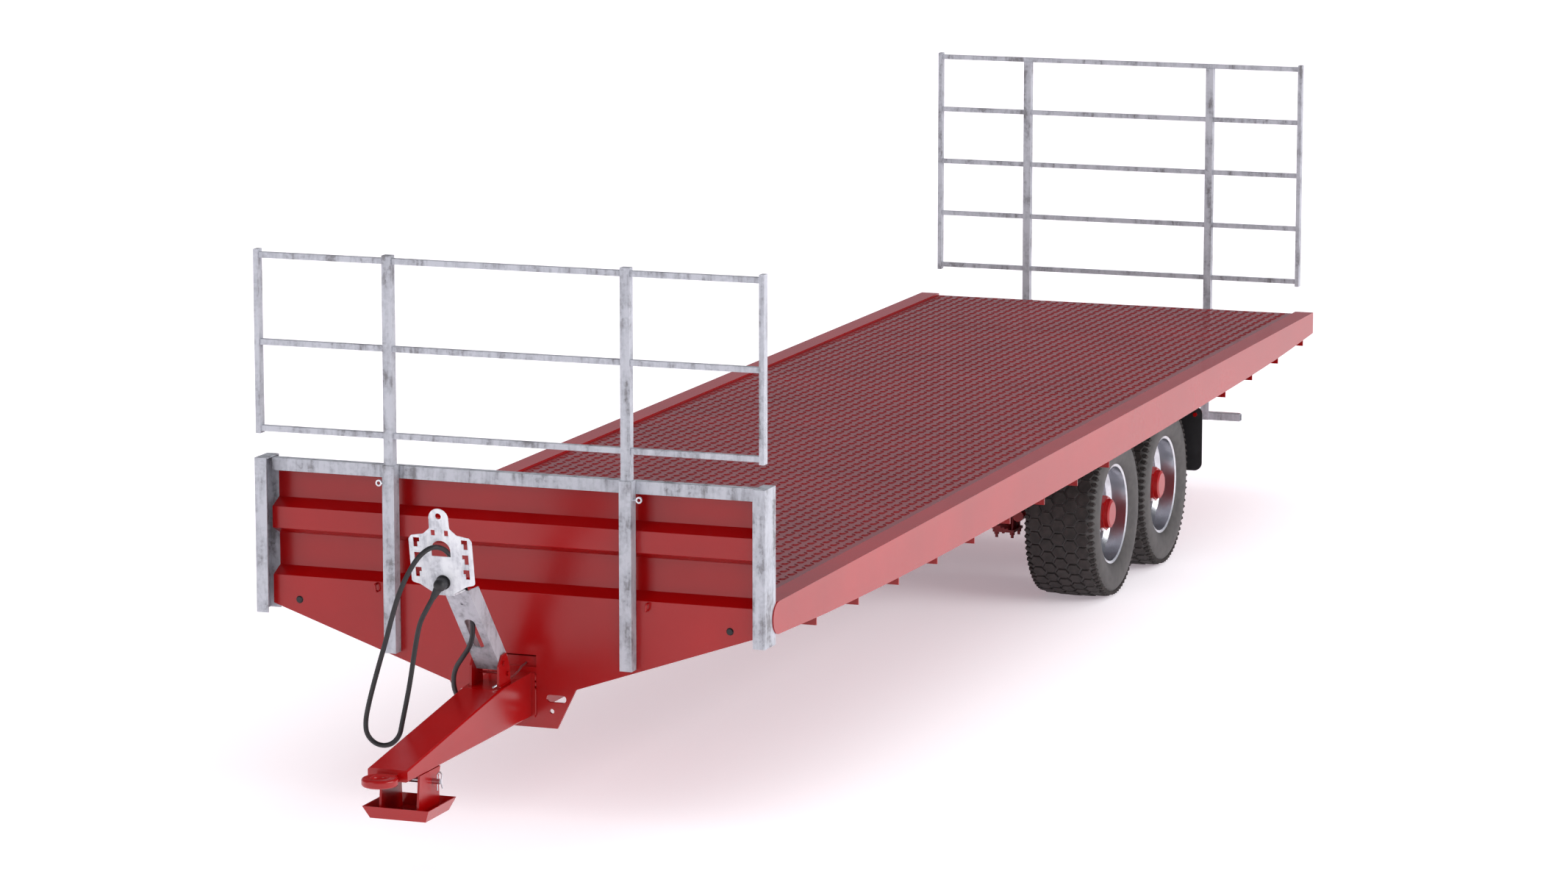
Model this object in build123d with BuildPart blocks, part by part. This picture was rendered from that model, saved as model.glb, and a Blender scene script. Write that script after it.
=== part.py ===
"""Tandem-axle flat bale trailer with a ribbed headboard and lift-out bale racks at both ends.

Millimetres. +X points forward to the towing eye, +Y to the left, +Z up. The origin is on the
ground, under the middle of the overall length.
"""
import os
from math import degrees, pi, radians, sqrt, tan

from build123d import *

os.makedirs("parts", exist_ok=True)

# ---------------------------------------------------------------- driving dimensions
deck_length = 9220
deck_width = 2440
deck_height = 1037
drawbar_reach = 1587          # headboard's back face to the front of the towing eye
weld_gap = 2                  # gap between neighbouring deck sheets

deck_sheet = 5
deck_sheet_count = 6
rail_web = 6
rail_flange = 110
rail_raise = 12
rail_flange_wall = 5
end_plate = 6                 # plate across the rear ends
rail_nose = 45                # reach of the rail's round nose past the headboard's back face
rail_depths = ((0, 134), (0.07, 160), (0.2, 187), (0.43, 196), (0.58, 192), (0.78, 171), (0.93, 141),
               (1, 112))

cross_count = 16
cross_first = 529
cross_web = 8
cross_flange = 60
cross_drop = 38               # outer ends of the cross-members below the side rail
cross_corner = 60
cross_inner = 570             # half width of the full-depth middle
tyre_clearance = 35           # outriggers above the tyres

beam_track = 960              # centre to centre of the two main beams
beam_top_drop = 240
beam_depth = 220
beam_flange = 110
beam_flange_wall = 12
beam_web = 10
beam_taper = 1250             # length of the beams' tapered front end
beam_nose_depth = 100         # depth of the beams at their front end

post_width = 57
post_depth = 136
post_wall = 5
post_top = 530
post_drop = 176
board_sheet = 3
rib_depth = 76
rib_flank = 33
ribs = ((206, 300),)          # lower and upper front edges of the full rib above the deck
panel_edge = -12              # top front edge of the lower panel
skirt_outer = 140
skirt_inner = 440
skirt_half = 290              # half width of the skirt's level middle stretch
notch_half = 115
notch_top = 290
rail_top = 523
top_rail_height = 56
top_rail_depth = 46

rack_tube = 44
rack_track = 1133             # centre to centre of the two rack uprights
rack_top = 1472
rack_rail_height = 25
rack_rail_depth = 30
rack_stile = 23
front_rack_half = 1214
front_rack_low = 640
front_rack_rails = (663, 1054, 1446)
rear_rack_half = 1130
rear_rack_low = 159
rear_rack_rails = (187, 503, 819, 1135, 1452)
socket_size = 57
socket_clearance = 0.5        # between a rack leg and the socket's wall
socket_drop = 320
rear_socket_drop = 260
socket_standoff = 8           # rear rack sockets stand this far behind the deck
leg_gap = 12                  # socket's end plate to the rack leg's end
clamp_screw_radius = 6

spine_length = 1600           # drawbar's box behind the headboard, under three cross bolsters
spine_width = 180
spine_top = 380
spine_low = 560
bolster_places = (0, -740, -1480)
bolster_wide = 120
bolster_tall = 80
joint_play = 0.05

drawbar_width = 184
drawbar_wall = 8
drawbar_low = 572
drawbar_front = 1428
drawbar_front_top = 520
drawbar_knee = 430
drawbar_knee_top = 380
drawbar_rear_top = 370
mount_plate_wall = 13
mount_plate_top_half = 307
mount_plate_low_half = 214
mount_plate_low = 618

eye_outer = 78
eye_hole = 30
eye_thickness = 36
eye_round = 11
eye_drop = 556

skid_low = 764
skid_height = 55
skid_wall = 6
skid_length = 295
skid_width = 308
skid_flare = 25
skid_front = 1355
cheek_wall = 10
skid_pin_radius = 12
skid_pin_clearance = 0.05
skid_pin_x = 1165
skid_pin_drop = 622

axle_spacing = 943
bogie_x = 6108                # headboard's back face to the middle between the axles
tyre_radius = 450
tyre_width = 400
wheel_centre = 900            # half the track
rim_radius = 281
bead_radius = 262.5
rim_wall = 8.5
disc_wall = 10
disc_offset = 44
hub_radius = 88
hub_length = 168
hub_collar = 34               # eight-sided collar below the hub's cap
drum_radius = 160
stud_circle = 110            # radius
stud_count = 10
nut_radius = 15
stud_radius = 8
axle_beam = 90
axle_beam_length = 1520
spindle_radius = 30
bearing_clearance = 0.05
backplate_gap = 6

spring_width = 70
leaf_wall = 11
leaf_count = 6
seat_crown = 1                # the top leaf's middle below the axle beam
spring_radius = 1500
spring_front = 430            # axle to the spring's eye pin
spring_slip = 358             # axle to the rocker's pad
spring_tail = 14              # spring beyond the pad
eye_wall = 8
eye_pin_radius = 15
pad_radius = 14
pad_gap = 6
rocker_width = 60
rocker_boss = 34
rocker_pin_radius = 22
pivot_clearance = 0.05
cheek_gap = 2
hanger_wall = 10
ubolt_radius = 8
clamp_plate = 14

carrier_lean_foot = (335, -310)
carrier_lean_head = (700, 122)
carrier_width = 120
carrier_flange = 84
carrier_wall = 6
carrier_tab_level = 112
plate_foot = (810, 118)
plate_head = (878, 511)
plate_wall = 5
lug_wall = 10
lug_gap = 0.5
carrier_bolt_places = ((345, -276), (300, -330))
carrier_bolt_radius = 6
bolt_play = 0.05

cable_radius = 11
cable_bend_share = 0.45
tail_run = 56                 # straight run of cable below the plug's tail

flap_x = 7112
flap_low = 596
flap_top = 231
flap_inner = 720
flap_outer = 1145
bar_x = 9055
bar_half = 830
bar_top = 600
bar_height = 41
bar_depth = 45

# ---------------------------------------------------------------- derived places
rear_reach = socket_standoff + socket_size
overall_length = drawbar_reach + deck_length + rear_reach
head_x = overall_length / 2 - drawbar_reach        # headboard's back face, front end of the deck
rear_x = head_x - deck_length
deck_z = deck_height
half_deck = deck_width / 2
rail_outer = half_deck + rail_web
axle_z = tyre_radius
beam_y = beam_track / 2
rack_y = rack_track / 2
front_axle_x = head_x - bogie_x + axle_spacing / 2
rear_axle_x = head_x - bogie_x - axle_spacing / 2
rocker_x = head_x - bogie_x
beam_low_z = deck_z - beam_top_drop - beam_depth
post_front = head_x + post_depth
board_front = head_x + rib_depth
sides = (("left", 1), ("right", -1))
axles = (("front", front_axle_x, 1), ("rear", rear_axle_x, -1))


def save(piece, name):
    piece.part.label = name
    export_step(piece.part, f"parts/{name}.step")


def along(x_from_head):
    return head_x + x_from_head


def above(z_from_deck):
    return deck_z + z_from_deck


def rail_depth_at(x_from_head):
    """Depth of the fish-bellied side rail at a distance behind the headboard."""
    share = min(max(-x_from_head / deck_length, 0), 1)
    for (start, first), (end, last) in zip(rail_depths, rail_depths[1:]):
        if share <= end:
            return first + (last - first) * (share - start) / (end - start)
    return rail_depths[-1][1]


def box_between(low, high, mode=Mode.ADD):
    """Box from its low corner to its high corner, inside the open part block."""
    size = [b - a for a, b in zip(low, high)]
    with Locations(tuple((a + b) / 2 for a, b in zip(low, high))):
        Box(*size, mode=mode)


# ---------------------------------------------------------------- chassis
beam_rear, beam_front = rear_x + 50, head_x - 50
beam_knee = head_x - beam_taper
beam_top_z = deck_z - beam_top_drop
beam_nose_z = beam_top_z - beam_nose_depth
with BuildPart() as main_beams:
    for _, side in sides:
        y = side * beam_y
        box_between((beam_rear, y - beam_flange / 2, beam_top_z - beam_flange_wall),
                    (beam_front, y + beam_flange / 2, beam_top_z))
        with BuildSketch(Plane.XZ.offset(-y)):
            Polygon((beam_rear, beam_top_z), (beam_front, beam_top_z), (beam_front, beam_nose_z),
                    (beam_knee, beam_low_z), (beam_rear, beam_low_z), align=None)
        extrude(amount=beam_web / 2, both=True)
        with BuildSketch(Plane.XZ.offset(-y)):
            Polygon((beam_rear, beam_low_z), (beam_knee, beam_low_z), (beam_front, beam_nose_z),
                    (beam_front, beam_nose_z + beam_flange_wall), (beam_knee, beam_low_z + beam_flange_wall),
                    (beam_rear, beam_low_z + beam_flange_wall), align=None)
        extrude(amount=beam_flange / 2, both=True)
save(main_beams, "main_beams")

cross_pitch = (deck_length - cross_first - 202) / (cross_count - 1)
with BuildPart() as cross_members:
    for index in range(cross_count):
        from_head = -(cross_first + index * cross_pitch)
        near_wheel = min(abs(along(from_head) + cross_flange / 2 - x) for x in (front_axle_x, rear_axle_x))
        if near_wheel < tyre_radius + 80:
            outer_low = -(deck_height - 2 * tyre_radius - tyre_clearance)
        else:
            outer_low = -(rail_depth_at(from_head) + cross_drop)
        with BuildSketch(Plane.YZ.offset(along(from_head) - cross_web / 2)) as web_outline:
            with BuildLine():
                Polyline((-half_deck, above(-deck_sheet)), (half_deck, above(-deck_sheet)),
                         (half_deck, above(outer_low)), (cross_inner + 90, above(outer_low)),
                         (cross_inner, above(-beam_top_drop)), (-cross_inner, above(-beam_top_drop)),
                         (-cross_inner - 90, above(outer_low)), (-half_deck, above(outer_low)), close=True)
            make_face()
            outer_corners = web_outline.vertices().filter_by(
                lambda v: abs(v.Y) > half_deck - 1 and v.Z < above(outer_low) + 1)
            fillet(outer_corners, cross_corner)
        extrude(amount=cross_web)
        box_between((along(from_head), -half_deck, above(-deck_sheet - cross_web)),
                    (along(from_head) + cross_flange, half_deck, above(-deck_sheet)))
        box_between((along(from_head), -cross_inner, above(-beam_top_drop)),
                    (along(from_head) + cross_flange, cross_inner, above(-beam_top_drop + cross_web)))
save(cross_members, "cross_members")

sheet_half = rail_outer - rail_flange - weld_gap     # the sheets lie between the side rails' flanges
with BuildPart() as deck_sheets:
    sheet_length = (deck_length - weld_gap * (deck_sheet_count - 1)) / deck_sheet_count
    for index in range(deck_sheet_count):
        start = rear_x + index * (sheet_length + weld_gap)
        box_between((start, -sheet_half, above(-deck_sheet)), (start + sheet_length, sheet_half, above(0)))
save(deck_sheets, "deck_sheets")

for side_name, side in sides:
    with BuildPart() as side_rail:
        nose_radius = (rail_raise + rail_depths[0][1]) / 2
        with BuildSketch(Plane.XZ.offset(-side * half_deck)):
            with BuildLine():
                nose_start = along(rail_nose - nose_radius)
                low_line = [(along(-share * deck_length), above(-depth)) for share, depth in rail_depths]
                ThreePointArc((nose_start, above(rail_raise)),
                              (along(rail_nose), above(rail_raise - nose_radius)),
                              (nose_start, above(-rail_depths[0][1])))
                Line((nose_start, above(-rail_depths[0][1])), low_line[1])
                Spline(*low_line[1:], tangents=((-1, -0.03), (-1, 0.045)))
                Line(low_line[-1], (rear_x, above(rail_raise)))
                Line((rear_x, above(rail_raise)), (nose_start, above(rail_raise)))
            make_face()
        extrude(amount=-side * rail_web)
        flange_inner = rail_outer - rail_flange
        flange_low = above(rail_raise - rail_flange_wall)
        y_low, y_high = sorted((side * flange_inner, side * (half_deck + 1)))
        box_between((rear_x, y_low, flange_low), (head_x, y_high, above(rail_raise)))
        y_low, y_high = sorted((side * flange_inner, side * (flange_inner + rail_flange_wall)))
        box_between((rear_x, y_low, above(0)), (head_x, y_high, flange_low + 1))
        y_low, y_high = sorted((side * flange_inner, side * rail_outer))
        box_between((rear_x - end_plate, y_low, above(-rail_depths[-1][1])),
                    (rear_x, y_high, above(rail_raise)))
    save(side_rail, f"side_rail_{side_name}")

rear_beam_inner = rail_outer - rail_flange
with BuildPart() as rear_beam:
    box_between((rear_x - end_plate, -rear_beam_inner, above(-150)), (rear_x, rear_beam_inner, above(0)))
    box_between((rear_x, -rear_beam_inner, above(-150)), (rear_x + 50, rear_beam_inner, above(-144)))
save(rear_beam, "rear_beam")

bolster_half = beam_y - beam_flange / 2
with BuildPart() as drawbar_spine:
    for from_head in bolster_places:
        box_between((along(from_head) - bolster_wide / 2, -bolster_half, above(-spine_top) + joint_play),
                    (along(from_head) + bolster_wide / 2, bolster_half, above(-spine_top + bolster_tall)))
    with BuildSketch(Plane.YZ.offset(along(-spine_length))):
        with Locations((0, above(-(spine_top + spine_low) / 2))):
            Rectangle(spine_width, spine_low - spine_top)
            Rectangle(spine_width - 2 * drawbar_wall, spine_low - spine_top - 2 * drawbar_wall,
                      mode=Mode.SUBTRACT)
    extrude(amount=spine_length + rib_depth - board_sheet - mount_plate_wall)
save(drawbar_spine, "drawbar_spine")

# ---------------------------------------------------------------- headboard
with BuildPart() as headboard_posts:
    for _, side in sides:
        with BuildSketch(Plane.XY.offset(above(-post_drop))):
            with Locations((head_x + post_depth / 2, side * (half_deck - post_width / 2))):
                Rectangle(post_depth, post_width)
            with Locations((head_x + post_depth / 2, side * (half_deck - post_width / 2 - post_wall))):
                Rectangle(post_depth - 2 * post_wall, post_width, mode=Mode.SUBTRACT)
        extrude(amount=post_drop + post_top)
        y_low, y_high = sorted((side * (half_deck - post_width), side * half_deck))
        box_between((head_x, y_low, above(post_top - post_wall)), (post_front, y_high, above(post_top)))
save(headboard_posts, "headboard_posts")

board_half = half_deck - post_width
with BuildPart() as headboard_sheet:
    outline = [(head_x, above(rail_top - top_rail_height))]
    for low, high in ribs:
        outline += [(head_x, above(high + rib_flank)), (board_front - board_sheet, above(high)),
                    (board_front - board_sheet, above(low)), (head_x, above(low - rib_flank))]
    outline += [(head_x, above(panel_edge + rib_flank)), (board_front - board_sheet, above(panel_edge)),
                (board_front - board_sheet, above(-skirt_inner))]
    with BuildSketch(Plane.XZ.offset(board_half)):
        with BuildLine():
            fold = Polyline(*outline)
            offset(fold, amount=board_sheet, side=Side.LEFT)
        make_face()
    extrude(amount=-2 * board_half)
    with BuildSketch(Plane.YZ.offset(head_x - 1)):
        for side in (1, -1):
            Polygon((side * (board_half + 1), above(-skirt_outer)), (side * skirt_half, above(-skirt_inner)),
                    (side * skirt_half, above(-skirt_inner - 10)),
                    (side * (board_half + 1), above(-skirt_inner - 10)),
                    align=None)
        Polygon((-notch_half, above(-skirt_inner - 10)), (notch_half, above(-skirt_inner - 10)),
                (notch_half, above(-notch_top)), (-notch_half, above(-notch_top)), align=None)
    extrude(amount=rib_depth + 20, mode=Mode.SUBTRACT)
save(headboard_sheet, "headboard_sheet")

with BuildPart() as headboard_rail:
    box_between((board_front - top_rail_depth, -board_half, above(rail_top - top_rail_height)),
                (board_front, board_half, above(rail_top)))
    box_between((head_x, -board_half, above(rail_top - top_rail_height)),
                (board_front - top_rail_depth, board_half, above(rail_top - top_rail_height + 4)))
save(headboard_rail, "headboard_rail")

with BuildPart() as drain_plugs:
    for side in (1, -1):
        with BuildSketch(Plane.YZ.offset(board_front)):
            with Locations((side * 1035, above(-118))):
                Circle(17)
        extrude(amount=7, taper=30)
save(drain_plugs, "drain_plugs")

with BuildPart() as rope_hooks:
    for side in (1, -1):
        y = side * 652
        with BuildLine():
            hook_path = FilletPolyline((board_front, y, above(-18)), (board_front + 26, y, above(-18)),
                                       (board_front + 26, y - side * 4, above(-48)),
                                       (board_front + 10, y - side * 6, above(-52)), radius=6)
        with BuildSketch(Plane(origin=hook_path @ 0, z_dir=hook_path % 0)):
            Circle(5)
        sweep(path=hook_path)
save(rope_hooks, "rope_hooks")

# ---------------------------------------------------------------- rack sockets and racks
socket_bore = rack_tube + 2 * socket_clearance
socket_wall = (socket_size - socket_bore) / 2
front_socket_x = post_front - socket_size / 2
rear_socket_x = rear_x - socket_standoff - socket_size / 2


def socket_tube(x_centre, y_centre, low, high):
    """Square tube open at the top, closed by an end plate, inside the open part block."""
    half_out, half_in = socket_size / 2, socket_bore / 2
    box_between((x_centre - half_out, y_centre - half_out, low),
                (x_centre + half_out, y_centre + half_out, high))
    box_between((x_centre - half_in, y_centre - half_in, low + socket_wall),
                (x_centre + half_in, y_centre + half_in, high + 1), mode=Mode.SUBTRACT)


def clamp_screws(x_centre, level, side):
    """Eye screw through a socket's outer wall, its tip just clear of the rack leg."""
    wall_y = side * (rack_y + socket_size / 2)
    tip_y = side * (rack_y + rack_tube / 2 + 0.4)
    with BuildSketch(Plane(origin=(x_centre, tip_y, level), z_dir=(0, side, 0))) as shank:
        Circle(clamp_screw_radius)
    extrude(shank.sketch, amount=abs(wall_y - tip_y) + 16)
    with BuildSketch(Plane(origin=(x_centre - 5, wall_y + side * 28, level), z_dir=(1, 0, 0))) as eye:
        Circle(15)
        Circle(8, mode=Mode.SUBTRACT)
    extrude(eye.sketch, amount=10)


with BuildPart() as front_sockets:
    for _, side in sides:
        socket_tube(front_socket_x, side * rack_y, above(-socket_drop), above(post_top))
        with BuildSketch(Plane(origin=(front_socket_x, side * (rack_y + rack_tube / 2), above(446)),
                               z_dir=(0, side, 0))):
            Circle(clamp_screw_radius)
        extrude(amount=socket_wall + 2, mode=Mode.SUBTRACT)
save(front_sockets, "front_rack_sockets")

with BuildPart() as rear_sockets:
    for _, side in sides:
        socket_tube(rear_socket_x, side * rack_y, above(-rear_socket_drop), above(-6))
        box_between((rear_x - socket_standoff, side * rack_y - 40, above(-150)),
                    (rear_x - end_plate, side * rack_y + 40, above(-20)))
        with BuildSketch(Plane(origin=(rear_socket_x, side * (rack_y + rack_tube / 2), above(-60)),
                               z_dir=(0, side, 0))):
            Circle(clamp_screw_radius)
        extrude(amount=socket_wall + 2, mode=Mode.SUBTRACT)
save(rear_sockets, "rear_rack_sockets")

with BuildPart() as rack_screws:
    for _, side in sides:
        clamp_screws(front_socket_x, above(446), side)
        clamp_screws(rear_socket_x, above(-60), side)
save(rack_screws, "rack_screws")


def rack_uprights(x_centre, low, high, rail_levels):
    """Two square legs with a window for every rail, inside the open part block."""
    half = rack_tube / 2
    for _, side in sides:
        box_between((x_centre - half, side * rack_y - half, low),
                    (x_centre + half, side * rack_y + half, high))
    for level in rail_levels:
        box_between((x_centre - rack_rail_depth / 2, -rack_y - rack_tube, above(level) - rack_rail_height / 2),
                    (x_centre + rack_rail_depth / 2, rack_y + rack_tube, above(level) + rack_rail_height / 2),
                    mode=Mode.SUBTRACT)


def rack_rails(x_centre, half, rail_levels):
    for level in rail_levels:
        box_between((x_centre - rack_rail_depth / 2, -half + rack_stile, above(level) - rack_rail_height / 2),
                    (x_centre + rack_rail_depth / 2, half - rack_stile, above(level) + rack_rail_height / 2))


def rack_stiles(x_centre, half, low, high):
    for side in (1, -1):
        y_low, y_high = sorted((side * (half - rack_stile), side * half))
        box_between((x_centre - rack_tube / 2, y_low, low), (x_centre + rack_tube / 2, y_high, high))


racks = (("front", front_socket_x, front_rack_half, above(front_rack_low), above(rack_top),
          above(-socket_drop + socket_wall + leg_gap), above(rack_top), front_rack_rails),
         ("rear", rear_socket_x, rear_rack_half, above(rear_rack_low), above(rack_top + 4),
          above(-rear_socket_drop + socket_wall + leg_gap),
          above(rear_rack_rails[-1] - rack_rail_height / 2), rear_rack_rails))
for rack, x_centre, half, low, high, leg_low, leg_high, rail_levels in racks:
    with BuildPart() as uprights:
        windows = rail_levels if rack == "front" else rail_levels[:-1]
        rack_uprights(x_centre, leg_low, leg_high, windows)
    save(uprights, f"{rack}_rack_uprights")
    with BuildPart() as frame:
        rack_rails(x_centre, half, rail_levels)
        rack_stiles(x_centre, half, low, high)
    save(frame, f"{rack}_rack_frame")

# ---------------------------------------------------------------- drawbar, towing eye and skid
plate_back_x = board_front - board_sheet - mount_plate_wall
with BuildPart() as drawbar_plate:
    with BuildSketch(Plane.YZ.offset(plate_back_x)):
        Polygon((-mount_plate_top_half, above(-345)), (-mount_plate_top_half, above(-430)),
                (-mount_plate_low_half, above(-mount_plate_low)),
                (mount_plate_low_half, above(-mount_plate_low)),
                (mount_plate_top_half, above(-430)), (mount_plate_top_half, above(-345)), align=None)
        for side in (1, -1):
            with Locations((side * 210, above(-483))):
                SlotOverall(95, 34, mode=Mode.SUBTRACT)
            with Locations((side * 188, above(-541))):
                Circle(11, mode=Mode.SUBTRACT)
    extrude(amount=mount_plate_wall)
save(drawbar_plate, "drawbar_plate")

drawbar_rear = board_front - board_sheet
drawbar_outline = ((drawbar_rear, above(-drawbar_low)), (along(drawbar_front), above(-drawbar_low)),
                   (along(drawbar_front), above(-drawbar_front_top)),
                   (along(drawbar_knee), above(-drawbar_knee_top)), (drawbar_rear, above(-drawbar_rear_top)))
with BuildPart() as drawbar:
    with BuildSketch(Plane.XZ):
        Polygon(*drawbar_outline, align=None)
    extrude(amount=drawbar_width / 2, both=True)
    long_edges = drawbar.edges().filter_by(lambda e: e.length > 900 and abs(e.center().Y) > 1)
    fillet(long_edges, 9)
    with BuildSketch(Plane.XZ):
        Polygon((drawbar_rear, above(-drawbar_low + drawbar_wall)),
                (along(drawbar_front - 2 * drawbar_wall), above(-drawbar_low + drawbar_wall)),
                (along(drawbar_front - 2 * drawbar_wall), above(-drawbar_front_top - drawbar_wall - 2)),
                (along(drawbar_knee), above(-drawbar_knee_top - drawbar_wall)),
                (drawbar_rear, above(-drawbar_rear_top - drawbar_wall)), align=None)
    extrude(amount=drawbar_width / 2 - drawbar_wall, both=True, mode=Mode.SUBTRACT)
    for side in (1, -1):
        y_low, y_high = sorted((side * drawbar_width / 2, side * (drawbar_width / 2 + 18)))
        box_between((drawbar_rear, y_low, above(-drawbar_low)),
                    (drawbar_rear + 10, y_high, above(-drawbar_rear_top)))
save(drawbar, "drawbar")

eye_x = along(drawbar_reach - eye_outer)
with BuildPart() as tow_eye:
    with BuildSketch(Plane(origin=(eye_x, 0, above(-eye_drop)), x_dir=(1, 0, 0), z_dir=(0, -1, 0))) as ring:
        with Locations(((eye_hole + eye_outer) / 2, 0)):
            RectangleRounded(eye_outer - eye_hole, eye_thickness, eye_round)
    revolve(axis=Axis((eye_x, 0, above(-eye_drop)), (0, 0, 1)))
    with BuildSketch(Plane.XY.offset(above(-eye_drop) - eye_thickness / 2 + 2)):
        Polygon((along(drawbar_front), -46), (along(drawbar_front), 46), (eye_x - 50, 42),
                (eye_x - eye_hole - 14, 34), (eye_x - eye_hole - 14, -34), (eye_x - 50, -42), align=None)
    extrude(amount=eye_thickness - 4)
save(tow_eye, "tow_eye")

tray_mid_x = along(skid_front - skid_length / 2)
tray_low = above(-skid_low)
with BuildPart() as skid_tray:
    for inset, level, mode in ((0, 0, Mode.ADD), (skid_wall, skid_wall, Mode.SUBTRACT)):
        with BuildSketch(Plane.XY.offset(tray_low + level)) as floor_outline:
            with Locations((tray_mid_x, 0)):
                Rectangle(skid_length - 2 * (skid_flare + inset), skid_width - 2 * (skid_flare + inset))
        with BuildSketch(Plane.XY.offset(tray_low + skid_height)) as lip_outline:
            with Locations((tray_mid_x, 0)):
                Rectangle(skid_length - 2 * inset, skid_width - 2 * inset)
        loft(sections=[floor_outline.sketch, lip_outline.sketch], mode=mode)
save(skid_tray, "skid_tray")

with BuildPart() as skid_cheeks:
    for side in (1, -1):
        y_outer = side * (drawbar_width / 2)
        with BuildSketch(Plane.XZ.offset(-y_outer)):
            Polygon((along(1085), above(-drawbar_low)), (along(1104), above(-drawbar_low - 46)),
                    (along(1094), tray_low + skid_wall), (along(1322), tray_low + skid_wall),
                    (along(1300), above(-drawbar_low)), align=None)
        extrude(amount=side * cheek_wall)
    with BuildSketch(Plane.XZ):
        with Locations((along(skid_pin_x), above(-skid_pin_drop))):
            Circle(skid_pin_radius + skid_pin_clearance)
    extrude(amount=drawbar_width, both=True, mode=Mode.SUBTRACT)
save(skid_cheeks, "skid_cheeks")

pin_half = drawbar_width / 2 + 34
with BuildPart() as skid_pin:
    with BuildSketch(Plane.XZ.offset(-pin_half)):
        with Locations((along(skid_pin_x), above(-skid_pin_drop))):
            Circle(skid_pin_radius)
    extrude(amount=2 * pin_half)
    with BuildSketch(Plane.XZ.offset(pin_half - 2)):
        with Locations((along(skid_pin_x), above(-skid_pin_drop))):
            Circle(skid_pin_radius + 10)
    extrude(amount=12)
    with BuildSketch(Plane.XY.offset(above(-skid_pin_drop) - skid_pin_radius)):
        with Locations((along(skid_pin_x), pin_half - 14)):
            Circle(3.1)
    extrude(amount=2 * skid_pin_radius, mode=Mode.SUBTRACT)
    clip_x = along(skid_pin_x)
    clip_z = above(-skid_pin_drop)
    with BuildLine():
        clip_path = FilletPolyline((clip_x, pin_half - 14, clip_z - 40), (clip_x, pin_half - 14, clip_z + 30),
                                   (clip_x, pin_half - 2, clip_z + 44), (clip_x, pin_half + 9, clip_z + 30),
                                   (clip_x, pin_half + 4, clip_z - 6), (clip_x, pin_half + 10, clip_z - 30),
                                   radius=5)
    with BuildSketch(Plane(origin=clip_path @ 0, z_dir=clip_path % 0)):
        Circle(3)
    sweep(path=clip_path)
save(skid_pin, "skid_pin")

# ---------------------------------------------------------------- hose and cable carrier
foot = Vector(along(carrier_lean_foot[0]), 0, above(carrier_lean_foot[1]))
head = Vector(along(carrier_lean_head[0]), 0, above(carrier_lean_head[1]))
lean = (head - foot).normalized()
face_normal = Vector(lean.Z, 0, -lean.X)            # forward and down, out of the post's front face
post_length = (head - foot).length
carrier_bolt_spots = [(along(x), above(z)) for x, z in carrier_bolt_places]
with BuildPart() as carrier_post:
    corners = [foot, head, head - face_normal * carrier_flange, foot - face_normal * carrier_flange]
    with BuildSketch(Plane.XZ):
        Polygon(*[(c.X, c.Z) for c in corners], align=None)
    extrude(amount=carrier_width / 2, both=True)
    inner = [foot - face_normal * carrier_wall - lean * 20, head - face_normal * carrier_wall + lean * 20,
             head - face_normal * (carrier_flange + 5) + lean * 20,
             foot - face_normal * (carrier_flange + 5) - lean * 20]
    with BuildSketch(Plane.XZ):
        Polygon(*[(c.X, c.Z) for c in inner], align=None)
    extrude(amount=carrier_width / 2 - carrier_wall, both=True, mode=Mode.SUBTRACT)
    box_between((foot.X - 200, -carrier_width, above(carrier_tab_level)),
                (head.X + 100, carrier_width, above(carrier_tab_level) + 200), mode=Mode.SUBTRACT)
    slot_level = -120
    slot_run = (above(slot_level) - foot.Z) / lean.Z
    slot_plane = Plane(origin=foot + lean * slot_run, x_dir=lean, z_dir=face_normal)
    with BuildSketch(slot_plane):
        SlotOverall(200, 48)
    extrude(amount=carrier_wall + 2, both=True, mode=Mode.SUBTRACT)
    hole_plane = Plane(origin=foot + lean * (post_length - 110), x_dir=lean, z_dir=face_normal)
    with BuildSketch(hole_plane):
        Circle(6)
    extrude(amount=carrier_wall + 2, both=True, mode=Mode.SUBTRACT)
    with BuildSketch(Plane.XZ):
        with Locations(*carrier_bolt_spots):
            Circle(carrier_bolt_radius)
    extrude(amount=carrier_width, both=True, mode=Mode.SUBTRACT)
save(carrier_post, "carrier_post")

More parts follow.
